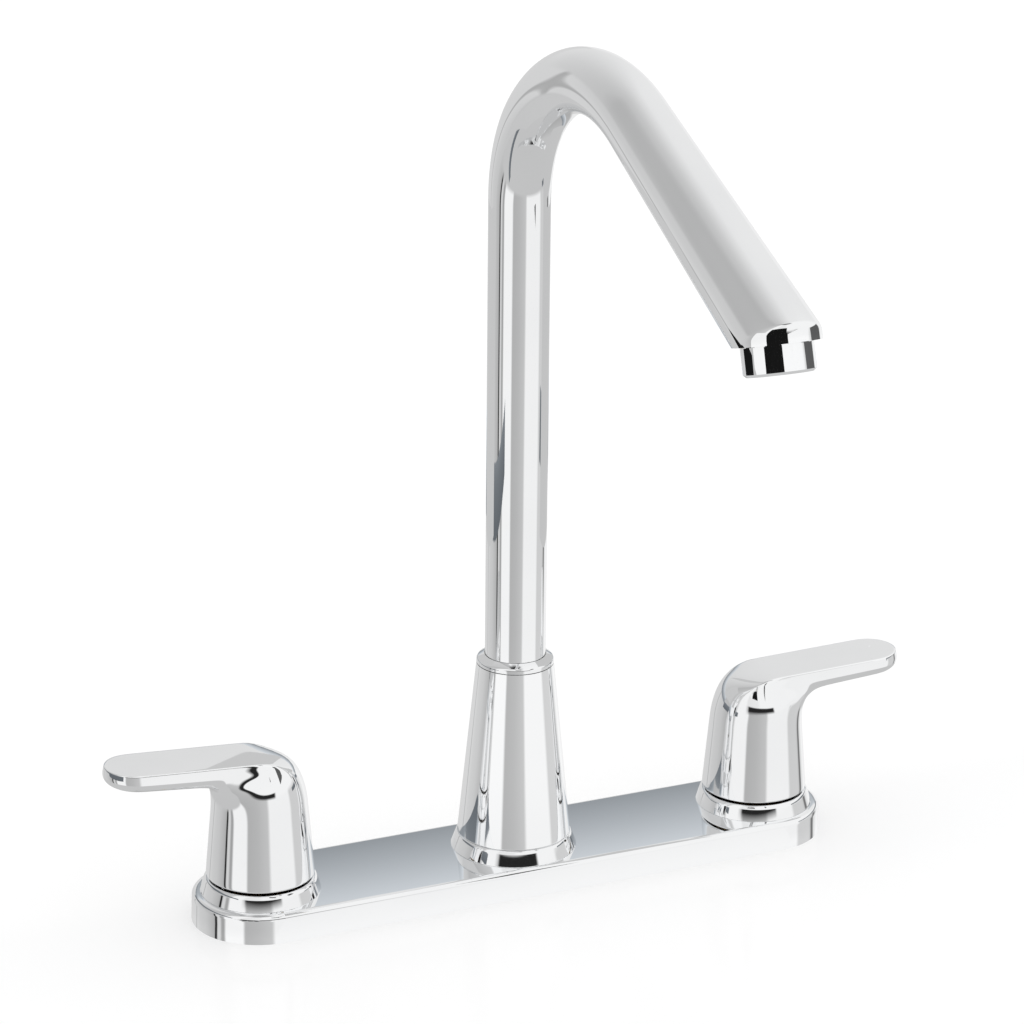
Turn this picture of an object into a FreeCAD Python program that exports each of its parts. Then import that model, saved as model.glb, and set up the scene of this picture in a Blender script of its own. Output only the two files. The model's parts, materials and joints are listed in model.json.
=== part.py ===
import FreeCAD, Part

import math
import os
import sys

import Sketcher
from FreeCAD import Placement, Rotation, Vector


# Two-handle kitchen mixer tap on a deck plate for 8 inch centres, with a high-arc swivel spout.
# Millimetres and degrees. Origin: centre of the deck face, under the spout. +X towards the cold
# handle, -Y towards the user, +Z up. Everything below Z = 0 passes through the sink deck.

SIZES = {
    "deck plate": {
        "centres": 203.2,
        "plate_width": 50.8,
        "plate_height": 11.0,
        "plate_wall": 2.0,
        "plate_draft": 1.5,
        "plate_edge_radius": 2.2,
        "gasket_width": 4.0,
        "gasket_thickness": 2.5,
    },
    "clearances": {
        "running_fit": 0.06,
        "seat_fit": 0.05,
        "hole_gap": 0.3,
        "free_gap": 0.4,
        "overrun": 5.0,
    },
    "valve body": {
        "foot_radius": 18.0,
        "barrel_radius": 13.5,
        "barrel_top": 24.0,
        "barrel_neck_radius": 11.5,
        "barrel_neck_top": 31.0,
        "chamber_radius": 9.7,
        "chamber_floor": 12.0,
        "passage_radius": 4.5,
        "drain_radius": 1.8,
        "drain_offset": 7.7,
    },
    "shank": {
        "shank_radius": 10.45,
        "shank_drop": 50.0,
        "shank_bore_radius": 6.4,
        "shank_bore_floor": 4.0,
        "neck_radius": 10.2,
        "deck_clamp": 20.0,
        "relief_depth": 0.6,
        "relief_width": 1.2,
        "inlet_length": 17.0,
    },
    "deck nut": {
        "washer_radius": 19.0,
        "washer_thickness": 2.0,
        "lock_nut_flats": 36.0,
        "lock_nut_height": 9.0,
    },
    "waterway": {
        "cross_tube_radius": 4.0,
        "cross_tube_wall": 0.8,
        "cross_tube_height": 4.5,
        "socket_depth": 3.5,
    },
    "trim ring": {
        "trim_radius": 21.0,
        "trim_height": 5.7,
        "trim_bevel": 1.8,
    },
    "cartridge": {
        "cartridge_radius": 9.0,
        "cartridge_bore_radius": 8.0,
        "cartridge_flange_thickness": 2.0,
        "cartridge_neck_radius": 8.3,
        "cartridge_neck_length": 3.4,
        "window_width": 5.0,
        "window_height": 3.0,
        "body_seal_drop": 4.0,
        "body_seal_width": 2.0,
        "body_seal_depth": 1.0,
        "seat_seal_thickness": 2.0,
        "seat_seal_width": 1.2,
    },
    "ceramic discs": {
        "disc_thickness": 3.0,
        "moving_disc_radius": 7.6,
        "port_radius": 1.8,
        "port_offset": 2.75,
        "slot_width": 3.0,
        "slot_depth": 1.2,
    },
    "stem": {
        "stem_radius": 5.0,
        "stem_flange_thickness": 1.8,
        "stem_top": 51.0,
        "stem_seal_height": 29.0,
        "stem_seal_width": 1.8,
        "stem_seal_depth": 1.3,
        "stem_chamfer": 0.8,
        "blade_shortfall": 0.8,
    },
    "bonnet nut": {
        "bonnet_flats": 25.0,
        "bonnet_height": 10.0,
        "bonnet_lip": 3.0,
    },
    "handle": {
        "skirt_gap": 0.5,
        "skirt_room": 1.55,
        "skirt_wall": 2.1,
        "cavity_height": 20.0,
        "handle_top": 64.1,
        "lever_yaw": 3.0,
        "lever_reach": 58.3,
        "lever_root_radius": 10.5,
        "lever_tip_radius": 10.8,
        "lever_thickness": 6.2,
        "crown_radius": 22.3,
        "crown_offset": 5.0,
        "dome_radius": 12.0,
        "handle_edge": 0.7,
    },
    "set screw": {
        "set_screw_height": 43.0,
        "set_screw_radius": 2.0,
        "set_screw_length": 6.0,
        "set_screw_socket_flats": 2.0,
        "set_screw_socket_depth": 2.5,
    },
    "hub": {
        "hub_flange_radius": 22.6,
        "hub_flange_height": 5.7,
        "hub_flange_bevel": 0.9,
        "hub_foot_radius": 21.6,
        "hub_flare_radius": 21.1,
        "hub_flare_height": 3.5,
        "hub_top_radius": 13.8,
        "hub_top": 82.0,
        "hub_wall": 2.2,
        "hub_groove": 0.6,
        "collar_radius": 14.2,
        "collar_height": 5.6,
        "collar_bevel": 1.7,
        "bush_thickness": 0.7,
        "bush_recess": 0.5,
    },
    "spout post": {
        "post_radius": 13.6,
        "post_top": 59.0,
        "post_bore_floor": 2.0,
        "post_bore_radius": 9.0,
        "ring_chamber_radius": 12.4,
        "ring_chamber_floor": 22.0,
        "ring_chamber_top": 28.0,
        "hub_nut_flats": 32.0,
        "hub_nut_height": 7.0,
    },
    "spout foot": {
        "foot_drop": 4.4,
        "foot_stem_radius": 11.0,
        "foot_bore_radius": 7.5,
        "foot_flange_radius": 13.0,
        "foot_flange_thickness": 2.0,
        "foot_spigot_length": 13.0,
        "thrust_washer_thickness": 1.2,
        "lower_o_ring_height": 36.0,
        "upper_o_ring_height": 48.0,
        "o_ring_width": 2.2,
        "o_ring_depth": 1.8,
        "retaining_ring_proud": 1.0,
        "retaining_ring_thickness": 1.2,
        "retaining_groove_depth": 1.0,
        "retaining_ring_opening": 5.0,
    },
    "spout": {
        "tube_radius": 11.2,
        "tube_wall": 1.2,
        "riser_top": 260.3,
        "lower_bend_radius": 49.2,
        "lower_bend_turn": 43.5,
        "upper_bend_radius": 69.6,
        "upper_bend_turn": 71.3,
        "bend_end_tube_radius": 11.6,
        "slant_length": 109.3,
        "tip_tube_radius": 13.8,
    },
    "outlet": {
        "outlet_tilt": 17.5,
        "rim_drop": 1.85,
        "toe_half_width": 13.95,
        "toe_reach": 16.6,
        "toe_blend": 1.6,
        "insert_thickness": 8.0,
        "insert_bore_radius": 10.9,
        "insert_mouth_radius": 8.5,
        "aerator_radius": 11.7,
        "aerator_length": 9.7,
        "aerator_gap": 0.35,
        "aerator_neck_length": 6.0,
        "aerator_wall": 1.5,
        "aerator_chamfer": 0.9,
        "aerator_lip": 1.0,
        "flow_former_length": 8.0,
        "flow_hole_radius": 1.1,
        "flow_hole_ring": 5.6,
        "screen_thickness": 0.6,
        "screen_hole_radius": 0.8,
        "screen_hole_ring": 2.5,
        "aerator_washer_thickness": 1.5,
        "aerator_washer_width": 2.0,
    },
}

# The skirt narrows by this share of its height
SKIRT_TAPER_SHARE = 0.1
# The lever's top and its underside climb by these shares of its length
LEVER_CLIMB_SHARE = 0.045
UNDERSIDE_CLIMB_SHARE = 0.08
# The turned corners of a hexagon nut are bevelled at 30 degrees
NUT_BEVEL_SHARE = math.tan(math.radians(30))
# Places closer than this count as one place when an edge is picked
NEAR = 0.01

doc = FreeCAD.newDocument("KitchenTap")
sheet = doc.addObject("Spreadsheet::Sheet", "Sizes")
row = 1
for group, sizes in SIZES.items():
    sheet.set(f"A{row}", group)
    row += 1
    for alias, value in sizes.items():
        sheet.set(f"A{row}", alias)
        sheet.set(f"B{row}", str(value))
        sheet.setAlias(f"B{row}", alias)
        row += 1
doc.recompute()


class Length:
    """A size: its value now, and the spreadsheet formula that keeps the model up to date."""

    def __init__(self, value, formula):
        self.value = value
        self.formula = formula

    def __add__(self, other):
        other = as_length(other)
        return Length(self.value + other.value, f"({self.formula} + {other.formula})")

    def __sub__(self, other):
        other = as_length(other)
        return Length(self.value - other.value, f"({self.formula} - {other.formula})")

    def __mul__(self, factor):
        return Length(self.value * factor, f"({self.formula} * {factor!r})")

    def __truediv__(self, factor):
        return Length(self.value / factor, f"({self.formula} / {factor!r})")

    def __neg__(self):
        return Length(-self.value, f"(0 - {self.formula})")


def as_length(size):
    return size if isinstance(size, Length) else Length(float(size), repr(float(size)))


class Sheet:
    """Every named size of the spreadsheet as a Length."""

    def __getattr__(self, alias):
        return Length(float(sheet.get(alias)), f"Sizes.{alias}")


s = Sheet()
NODES = []


def node(thing, label):
    """Names a finished sub-part, which becomes one file."""
    thing.Label = label
    NODES.append(thing)
    return thing


def new_body(label):
    return node(doc.addObject("PartDesign::Body", "Body"), label)


def place(thing, at_x=None, angle=None):
    """Moves a sub-part along X to a named place, and turns it about its own Z axis."""
    if angle is not None:
        thing.Placement.Rotation = Rotation(Vector(0, 0, 1), angle)
    if at_x is not None:
        thing.setExpression("Placement.Base.x", at_x.formula)


def new_sketch(body, plane, offset=None):
    """A sketch on one of the body's own origin planes, moved off it by a named offset."""
    drawing = body.newObject("Sketcher::SketchObject", "Sketch")
    for feature in body.Origin.OriginFeatures:
        if feature.Role == plane:
            drawing.AttachmentSupport = [(feature, "")]
    drawing.MapMode = "FlatFace"
    if offset is not None:
        drawing.setExpression("AttachmentOffset.Base.z", offset.formula)
    return drawing


def pin_point(drawing, geometry, end, across, up):
    """Holds one point of a sketch at its named place."""
    for kind, size, axis in (("DistanceX", across, -2), ("DistanceY", up, -1)):
        if isinstance(size, Length):
            pin = Sketcher.Constraint(kind, -1, 1, geometry, end, size.value)
            number = drawing.addConstraint(pin)
            drawing.setExpression(f"Constraints[{number}]", size.formula)
        else:
            drawing.addConstraint(Sketcher.Constraint("PointOnObject", geometry, end, axis))


def spot(across, up):
    return Vector(as_length(across).value, as_length(up).value, 0)


def draw_outline(drawing, points, arcs=None):
    """A closed outline through named points. arcs gives, for a side's number, its arc's centre."""
    arcs = arcs or {}
    first = drawing.GeometryCount
    total = len(points)
    for i in range(total):
        start = spot(*points[i])
        end = spot(*points[(i + 1) % total])
        if i in arcs:
            drawing.addGeometry(short_arc(start, end, spot(*arcs[i])), False)
        else:
            drawing.addGeometry(Part.LineSegment(start, end), False)
    for i in range(total):
        begins = start_end(drawing, first + i, spot(*points[i]))
        ends = 3 - start_end(drawing, first + i, spot(*points[i]))
        follows = first + (i + 1) % total
        meets = start_end(drawing, follows, spot(*points[(i + 1) % total]))
        drawing.addConstraint(Sketcher.Constraint("Coincident", first + i, ends, follows, meets))
        pin_point(drawing, first + i, begins, *points[i])
    for side in arcs:
        number = drawing.addConstraint(Sketcher.Constraint(
            "Radius", first + side, drawing.Geometry[first + side].Radius))
        drawing.setExpression(f"Constraints[{number}]", arcs_radius(points[side], arcs[side]))
    return drawing


def arcs_radius(point, centre):
    """Formula for the distance from an arc's start to its centre."""
    across = as_length(point[0]) - centre[0]
    up = as_length(point[1]) - centre[1]
    return f"sqrt(({across.formula}) ^ 2 + ({up.formula}) ^ 2)"


def short_arc(start, end, centre):
    """The shorter way round from one point to the other about a centre."""
    radius = (start - centre).Length
    turn = (start - centre).cross(end - centre).z
    first = math.atan2(start.y - centre.y, start.x - centre.x)
    last = math.atan2(end.y - centre.y, end.x - centre.x)
    circle = Part.Circle(centre, Vector(0, 0, 1), radius)
    if turn > 0:
        return Part.ArcOfCircle(circle, first, last)
    return Part.ArcOfCircle(circle, last, first)


def start_end(drawing, geometry, point):
    """1 if the geometry starts at this point, 2 if it ends there."""
    shape = drawing.Geometry[geometry]
    near_start = (shape.StartPoint - point).Length
    near_end = (shape.EndPoint - point).Length
    return 1 if near_start <= near_end else 2


def draw_circle(drawing, radius, across=0, up=0):
    circle = Part.Circle(spot(across, up), Vector(0, 0, 1), radius.value)
    index = drawing.addGeometry(circle, False)
    pin_point(drawing, index, 3, across, up)
    number = drawing.addConstraint(Sketcher.Constraint("Radius", index, radius.value))
    drawing.setExpression(f"Constraints[{number}]", radius.formula)
    return drawing


def draw_belt(drawing, left, left_radius, right, right_radius):
    """Two round ends on the X axis, joined by straight sides that touch them."""
    x1 = as_length(left).value
    x2 = right.value
    r1 = left_radius.value
    r2 = right_radius.value
    lean = math.acos((r1 - r2) / (x2 - x1))
    upright = Vector(0, 0, 1)
    right_end = Part.Circle(Vector(x2, 0, 0), upright, r2)
    left_end = Part.Circle(Vector(x1, 0, 0), upright, r1)
    a = drawing.addGeometry(Part.ArcOfCircle(right_end, -lean, lean), False)
    c = drawing.addGeometry(Part.ArcOfCircle(left_end, lean, 2 * math.pi - lean), False)
    across = Vector(math.cos(lean), math.sin(lean), 0)
    below = Vector(across.x, -across.y, 0)
    top = Part.LineSegment(Vector(x2, 0, 0) + across * r2, Vector(x1, 0, 0) + across * r1)
    bottom = Part.LineSegment(Vector(x1, 0, 0) + below * r1, Vector(x2, 0, 0) + below * r2)
    b = drawing.addGeometry(top, False)
    d = drawing.addGeometry(bottom, False)
    for one, other in ((a, b), (b, c), (c, d), (d, a)):
        drawing.addConstraint(Sketcher.Constraint("Tangent", one, 2, other, 1))
    for arc, at_x, radius in ((a, right, right_radius), (c, left, left_radius)):
        pin_point(drawing, arc, 3, at_x, 0)
        number = drawing.addConstraint(Sketcher.Constraint("Radius", arc, radius.value))
        drawing.setExpression(f"Constraints[{number}]", radius.formula)
    return drawing


def draw_bar(body, height, width, half_length):
    """A rectangle along Y, centred on the axis."""
    half = width / 2
    return draw_outline(new_sketch(body, "XY_Plane", height), [
        (-half, -half_length),
        (half, -half_length),
        (half, half_length),
        (-half, half_length),
    ])


def draw_hexagon(drawing, across_flats, up=None):
    """A hexagon with two of its corners level with its centre."""
    corner = across_flats / math.sqrt(3)
    half_side = corner / 2
    half_flats = across_flats / 2
    centre = up if up is not None else 0
    high = centre + half_flats if up is not None else half_flats
    low = centre - half_flats if up is not None else -half_flats
    return draw_outline(drawing, [
        (corner, centre),
        (half_side, high),
        (-half_side, high),
        (-corner, centre),
        (-half_side, low),
        (half_side, low),
    ])


def revolve(body, points, kind="Revolution", arcs=None):
    """Turns an outline of (radius, height) points about the body's own Z axis."""
    before = body.Shape.Volume if kind == "Groove" else 0
    drawing = draw_outline(new_sketch(body, "XZ_Plane"), points, arcs)
    feature = body.newObject(f"PartDesign::{kind}", kind)
    feature.Profile = drawing
    feature.ReferenceAxis = (drawing, ["V_Axis"])
    feature.Angle = 360
    doc.recompute()
    if kind == "Groove" and body.Shape.Volume >= before:
        sys.exit(f"{body.Label}: a groove cuts nothing")
    return feature


def pad(body, drawing, length, taper=None, midplane=False):
    feature = body.newObject("PartDesign::Pad", "Pad")
    feature.Profile = drawing
    feature.setExpression("Length", length.formula)
    if taper is not None:
        feature.setExpression("TaperAngle", taper.formula)
    if midplane:
        feature.SideType = "Symmetric"
    doc.recompute()
    return feature


def pocket(body, drawing, length=None, reverse=False, midplane=False):
    """Cuts a drawing out of the body: against its plane's normal, or along it when reversed."""
    before = body.Shape.Volume
    feature = body.newObject("PartDesign::Pocket", "Pocket")
    feature.Profile = drawing
    if midplane:
        feature.SideType = "Symmetric"
    if length is None:
        feature.Type = "ThroughAll"
    else:
        feature.setExpression("Length", length.formula)
    feature.Reversed = reverse
    doc.recompute()
    if body.Shape.Volume >= before:
        sys.exit(f"{body.Label}: a pocket cuts nothing")
    return feature


def soften(body, kind, size, test):
    """A fillet or chamfer of a named size on the edges whose middle point passes a test."""
    base = body.Tip
    names = []
    for i, edge in enumerate(base.Shape.Edges):
        middle = edge.valueAt((edge.FirstParameter + edge.LastParameter) / 2)
        if test(edge, middle):
            names.append(f"Edge{i + 1}")
    if not names:
        sys.exit(f"{body.Label}: no edge to soften")
    feature = body.newObject(f"PartDesign::{kind}", kind)
    feature.Base = (base, names)
    feature.setExpression("Radius" if kind == "Fillet" else "Size", size.formula)
    doc.recompute()
    return feature


def rim(radius, height):
    """A test that picks the round edge of this radius at this height."""
    def test(edge, middle):
        from_axis = math.hypot(middle.x, middle.y)
        return abs(from_axis - radius.value) < NEAR and abs(middle.z - height.value) < NEAR
    return test


def make_ring(label, inner, outer, bottom, top, at_x=None):
    """A plain ring of rectangular section."""
    body = new_body(label)
    revolve(body, [(inner, bottom), (outer, bottom), (outer, top), (inner, top)])
    place(body, at_x)
    return body


def make_o_ring(inner, outer, height):
    ring = doc.addObject("Part::Torus", "Ring")
    ring.setExpression("Radius1", ((outer + inner) / 2).formula)
    ring.setExpression("Radius2", ((outer - inner) / 2).formula)
    ring.setExpression("Placement.Base.z", height.formula)
    return ring


def make_hex_nut(label, flats, bottom, height, bore, at_x=None, lip=None, lip_bore=None):
    """A hexagon nut with bevelled corners, and a lip at its top where it holds a flange down."""
    body = new_body(label)
    pad(body, draw_hexagon(new_sketch(body, "XY_Plane", bottom), flats), height)
    top = bottom + height
    far = flats
    bevel = flats * NUT_BEVEL_SHARE / 2
    for face, inside in ((top, top - bevel), (bottom, bottom + bevel)):
        revolve(body, [(flats / 2, face), (far, face), (far, inside)], "Groove")
    threaded = draw_circle(new_sketch(body, "XY_Plane", bottom), bore)
    if lip is None:
        pocket(body, threaded, reverse=True)
    else:
        pocket(body, threaded, height - lip, reverse=True)
        through = draw_circle(new_sketch(body, "XY_Plane", bottom), lip_bore)
        pocket(body, through, reverse=True)
    place(body, at_x)


# Places shared by several pieces
HALF = s.centres / 2
PLATE_INSIDE = s.plate_height - s.plate_wall
CARTRIDGE_BOTTOM = s.chamber_floor + s.seat_seal_thickness
DISC_JOINT = CARTRIDGE_BOTTOM + s.disc_thickness
DISC_TOP = DISC_JOINT + s.disc_thickness
STEM_FLANGE_TOP = DISC_TOP + s.stem_flange_thickness
CARTRIDGE_FLANGE_TOP = s.barrel_neck_top + s.cartridge_flange_thickness
BODY_SEAL_HEIGHT = s.barrel_neck_top - s.body_seal_drop
SOCKET_END = s.foot_radius - s.socket_depth
TUBE_BORE = s.cross_tube_radius - s.cross_tube_wall
SKIRT_BOTTOM = s.plate_height + s.trim_height + s.skirt_gap
CAVITY_TOP_RADIUS = s.bonnet_flats / math.sqrt(3) + s.skirt_room
SKIRT_RADIUS = CAVITY_TOP_RADIUS + s.cavity_height * SKIRT_TAPER_SHARE + s.skirt_wall
HUB_FLANGE_TOP = s.plate_height + s.hub_flange_height
SPOUT_BOTTOM = s.post_top + s.thrust_washer_thickness
TUBE_BOTTOM = SPOUT_BOTTOM + s.foot_flange_thickness


def make_deck_plate():
    """Chrome shell with round ends, open underneath, with a hole for each valve and the post."""
    body = new_body("deck_plate")
    half_width = s.plate_width / 2
    outline = draw_belt(new_sketch(body, "XY_Plane"), -HALF, half_width, HALF, half_width)
    pad(body, outline, s.plate_height, -s.plate_draft)
    soften(body, "Fillet", s.plate_edge_radius,
           lambda edge, middle: abs(middle.z - s.plate_height.value) < NEAR)
    inside = half_width - s.plate_wall
    pocket(body, draw_belt(new_sketch(body, "XY_Plane"), -HALF, inside, HALF, inside),
           PLATE_INSIDE, reverse=True)
    for at_x, radius in ((-HALF, s.barrel_radius), (0, s.post_radius), (HALF, s.barrel_radius)):
        hole = draw_circle(new_sketch(body, "XY_Plane"), radius + s.hole_gap, at_x)
        pocket(body, hole, reverse=True)


def make_deck_gasket():
    """Rubber ring inside the plate's rim, flush with the deck face."""
    body = new_body("deck_gasket")
    outer = s.plate_width / 2 - s.plate_wall
    inner = outer - s.gasket_width
    ring = draw_belt(new_sketch(body, "XY_Plane"), -HALF, outer, HALF, outer)
    draw_belt(ring, -HALF, inner, HALF, inner)
    pad(body, ring, s.gasket_thickness)


def bore_side_port(body, towards, port_start):
    """A socket for a cross tube and the port behind it, on the side that faces towards."""
    socket = draw_circle(new_sketch(body, "YZ_Plane", SOCKET_END * towards),
                         s.cross_tube_radius + s.seat_fit, 0, s.cross_tube_height)
    pocket(body, socket, s.socket_depth + s.overrun, reverse=towards > 0)
    port = draw_circle(new_sketch(body, "YZ_Plane", port_start * towards),
                       TUBE_BORE, 0, s.cross_tube_height)
    pocket(body, port, SOCKET_END - port_start, reverse=towards > 0)


def make_valve_body(side, towards):
    """Brass body: threaded shank below the deck, foot inside the plate, barrel for the cartridge."""
    body = new_body(f"{side}_valve_body")
    bottom = -s.shank_drop
    relief = s.shank_radius - s.relief_depth
    relief_bottom = s.inlet_length - s.shank_drop
    relief_top = relief_bottom + s.relief_width
    revolve(body, [
        (s.shank_bore_radius, bottom),
        (s.shank_radius, bottom),
        (s.shank_radius, relief_bottom),
        (relief, relief_bottom),
        (relief, relief_top),
        (s.shank_radius, relief_top),
        (s.shank_radius, -s.deck_clamp),
        (s.neck_radius, -s.deck_clamp),
        (s.neck_radius, 0),
        (s.foot_radius, 0),
        (s.foot_radius, PLATE_INSIDE),
        (s.barrel_radius, PLATE_INSIDE),
        (s.barrel_radius, s.barrel_top),
        (s.barrel_neck_radius, s.barrel_top),
        (s.barrel_neck_radius, s.barrel_neck_top),
        (s.chamber_radius, s.barrel_neck_top),
        (s.chamber_radius, s.chamber_floor),
        (s.passage_radius, s.chamber_floor),
        (s.passage_radius, -s.shank_bore_floor),
        (s.shank_bore_radius, -s.shank_bore_floor),
    ])
    bore_side_port(body, towards, s.drain_offset)
    drain = new_sketch(body, "XY_Plane", s.chamber_floor)
    draw_circle(drain, s.drain_radius, s.drain_offset * towards)
    pocket(body, drain, s.chamber_floor - s.cross_tube_height)
    place(body, HALF * -towards)


def make_cross_tube(side, towards):
    """Copper tube from the valve's foot to the spout post."""
    body = new_body(f"{side}_cross_tube")
    outer_end = HALF - SOCKET_END
    drawing = new_sketch(body, "YZ_Plane", -outer_end if towards > 0 else SOCKET_END)
    draw_circle(drawing, s.cross_tube_radius, 0, s.cross_tube_height)
    draw_circle(drawing, TUBE_BORE, 0, s.cross_tube_height)
    pad(body, drawing, outer_end - SOCKET_END)


def make_trim_ring(side, at_x):
    """Chrome ring on the plate, under the handle's skirt."""
    top = s.plate_height + s.trim_height
    body = make_ring(f"{side}_trim_ring", s.barrel_radius + s.hole_gap, s.trim_radius,
                     s.plate_height, top, at_x)
    soften(body, "Fillet", s.trim_bevel, rim(s.trim_radius, top))


def make_cartridge(side, at_x):
    """Brass barrel that holds the two ceramic discs and guides the stem."""
    body = new_body(f"{side}_cartridge")
    groove = s.cartridge_radius - s.body_seal_depth
    groove_low = BODY_SEAL_HEIGHT - s.body_seal_width / 2
    groove_high = BODY_SEAL_HEIGHT + s.body_seal_width / 2
    stem_bore = s.stem_radius + s.running_fit
    shoulder = STEM_FLANGE_TOP + s.free_gap
    neck_top = CARTRIDGE_FLANGE_TOP + s.cartridge_neck_length
    revolve(body, [
        (s.cartridge_bore_radius, CARTRIDGE_BOTTOM),
        (s.cartridge_radius, CARTRIDGE_BOTTOM),
        (s.cartridge_radius, groove_low),
        (groove, groove_low),
        (groove, groove_high),
        (s.cartridge_radius, groove_high),
        (s.cartridge_radius, s.barrel_neck_top),
        (s.barrel_neck_radius, s.barrel_neck_top),
        (s.barrel_neck_radius, CARTRIDGE_FLANGE_TOP),
        (s.cartridge_neck_radius, CARTRIDGE_FLANGE_TOP),
        (s.cartridge_neck_radius, neck_top),
        (stem_bore, neck_top),
        (stem_bore, shoulder),
        (s.cartridge_bore_radius, shoulder),
    ])
    half = s.window_width / 2
    window_top = DISC_JOINT + s.window_height
    window = draw_outline(new_sketch(body, "YZ_Plane"), [
        (-half, DISC_JOINT),
        (half, DISC_JOINT),
        (half, window_top),
        (-half, window_top),
    ])
    pocket(body, window, midplane=True)
    place(body, at_x)


def make_fixed_disc(side, at_x):
    """Ceramic disc with two ports, in front and behind, held still in the cartridge."""
    body = new_body(f"{side}_fixed_disc")
    drawing = new_sketch(body, "XY_Plane", CARTRIDGE_BOTTOM)
    draw_circle(drawing, s.cartridge_bore_radius - s.seat_fit)
    for offset in (s.port_offset, -s.port_offset):
        draw_circle(drawing, s.port_radius, 0, offset)
    pad(body, drawing, s.disc_thickness)
    place(body, at_x)


def make_moving_disc(side, at_x, angle):
    """Ceramic disc that the stem turns: its ports meet the fixed ones after a quarter turn."""
    body = new_body(f"{side}_moving_disc")
    drawing = new_sketch(body, "XY_Plane", DISC_JOINT)
    draw_circle(drawing, s.moving_disc_radius)
    for offset in (s.port_offset, -s.port_offset):
        draw_circle(drawing, s.port_radius, offset, 0)
    pad(body, drawing, s.disc_thickness)
    slot = draw_bar(body, DISC_TOP, s.slot_width, s.moving_disc_radius + s.overrun)
    pocket(body, slot, s.slot_depth)
    place(body, at_x, angle)


def make_stem(side, at_x, angle):
    """Brass stem: a blade in the moving disc, a flange, an O-ring groove and the handle's seat."""
    body = new_body(f"{side}_stem")
    groove = s.stem_radius - s.stem_seal_depth
    groove_low = s.stem_seal_height - s.stem_seal_width / 2
    groove_high = s.stem_seal_height + s.stem_seal_width / 2
    revolve(body, [
        (0, DISC_TOP),
        (s.moving_disc_radius, DISC_TOP),
        (s.moving_disc_radius, STEM_FLANGE_TOP),
        (s.stem_radius, STEM_FLANGE_TOP),
        (s.stem_radius, groove_low),
        (groove, groove_low),
        (groove, groove_high),
        (s.stem_radius, groove_high),
        (s.stem_radius, s.stem_top),
        (0, s.stem_top),
    ])
    soften(body, "Chamfer", s.stem_chamfer, rim(s.stem_radius, s.stem_top))
    depth = s.slot_depth - s.seat_fit
    blade = draw_bar(body, DISC_TOP - depth, s.slot_width - s.seat_fit * 2,
                     s.moving_disc_radius - s.blade_shortfall)
    pad(body, blade, depth)
    place(body, at_x, angle)


def skirt_radius_at(height):
    return SKIRT_RADIUS - (height - SKIRT_BOTTOM) * SKIRT_TAPER_SHARE


def make_handle(side, at_x, angle):
    """Chrome lever handle: hollow tapered skirt with a domed top, and a flat lever."""
    body = new_body(f"{side}_handle")
    tip_under = s.handle_top + (s.lever_reach - s.crown_offset) * LEVER_CLIMB_SHARE \
        - s.lever_thickness

    def top_at(along):
        return s.handle_top + (along - s.crown_offset) * LEVER_CLIMB_SHARE

    def under_at(along):
        return tip_under - (s.lever_reach - along) * UNDERSIDE_CLIMB_SHARE

    front = s.lever_reach + s.overrun
    back = -SKIRT_RADIUS
    slab = draw_outline(new_sketch(body, "XZ_Plane"), [
        (back, under_at(back)),
        (front, under_at(front)),
        (front, top_at(front)),
        (back, top_at(back)),
    ])
    pad(body, slab, SKIRT_RADIUS * 2 + s.overrun, midplane=True)
    far = s.lever_reach + SKIRT_RADIUS
    plan = draw_outline(new_sketch(body, "XY_Plane"), [
        (-far, -far),
        (far, -far),
        (far, far),
        (-far, far),
    ])
    draw_belt(plan, 0, s.lever_root_radius, s.lever_reach - s.lever_tip_radius,
              s.lever_tip_radius)
    pocket(body, plan, reverse=True)
    crown_centre = s.handle_top - s.crown_radius
    crown_back = s.crown_offset - s.crown_radius
    above = s.handle_top + s.overrun
    crown = draw_outline(new_sketch(body, "XZ_Plane"), [
        (s.crown_offset, s.handle_top),
        (crown_back, crown_centre),
        (crown_back - s.overrun, crown_centre),
        (crown_back - s.overrun, above),
        (s.crown_offset, above),
    ], arcs={0: (s.crown_offset, crown_centre)})
    pocket(body, crown, midplane=True)

    def on_top_edge(edge, middle):
        along = middle.x - s.crown_offset.value
        flat = abs(middle.z - s.handle_top.value - along * LEVER_CLIMB_SHARE) < NEAR
        from_centre = math.hypot(along, middle.z - crown_centre.value)
        rounded = along < 0 and abs(from_centre - s.crown_radius.value) < NEAR
        seam = math.hypot(along, middle.y) < NEAR
        return (flat and along > -NEAR or rounded) and not seam

    soften(body, "Fillet", s.handle_edge, on_top_edge)
    lean = math.hypot(1, SKIRT_TAPER_SHARE)
    dome_centre = s.handle_top - s.dome_radius
    dome_foot = dome_centre + s.dome_radius * (SKIRT_TAPER_SHARE / lean)
    dome_axis = skirt_radius_at(dome_foot) - s.dome_radius / lean
    revolve(body, [
        (0, SKIRT_BOTTOM),
        (SKIRT_RADIUS, SKIRT_BOTTOM),
        (skirt_radius_at(dome_foot), dome_foot),
        (dome_axis, s.handle_top),
        (0, s.handle_top),
    ], arcs={2: (dome_axis, dome_centre)})
    cavity_top = SKIRT_BOTTOM + s.cavity_height
    socket = s.stem_radius + s.seat_fit
    socket_top = s.stem_top + s.free_gap
    revolve(body, [
        (0, SKIRT_BOTTOM),
        (SKIRT_RADIUS - s.skirt_wall, SKIRT_BOTTOM),
        (CAVITY_TOP_RADIUS, cavity_top),
        (socket, cavity_top),
        (socket, socket_top),
        (0, socket_top),
    ], "Groove")
    hole = draw_circle(new_sketch(body, "YZ_Plane"), s.set_screw_radius + s.seat_fit,
                       0, s.set_screw_height)
    pocket(body, hole, SKIRT_RADIUS)
    place(body, at_x, angle)


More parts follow.
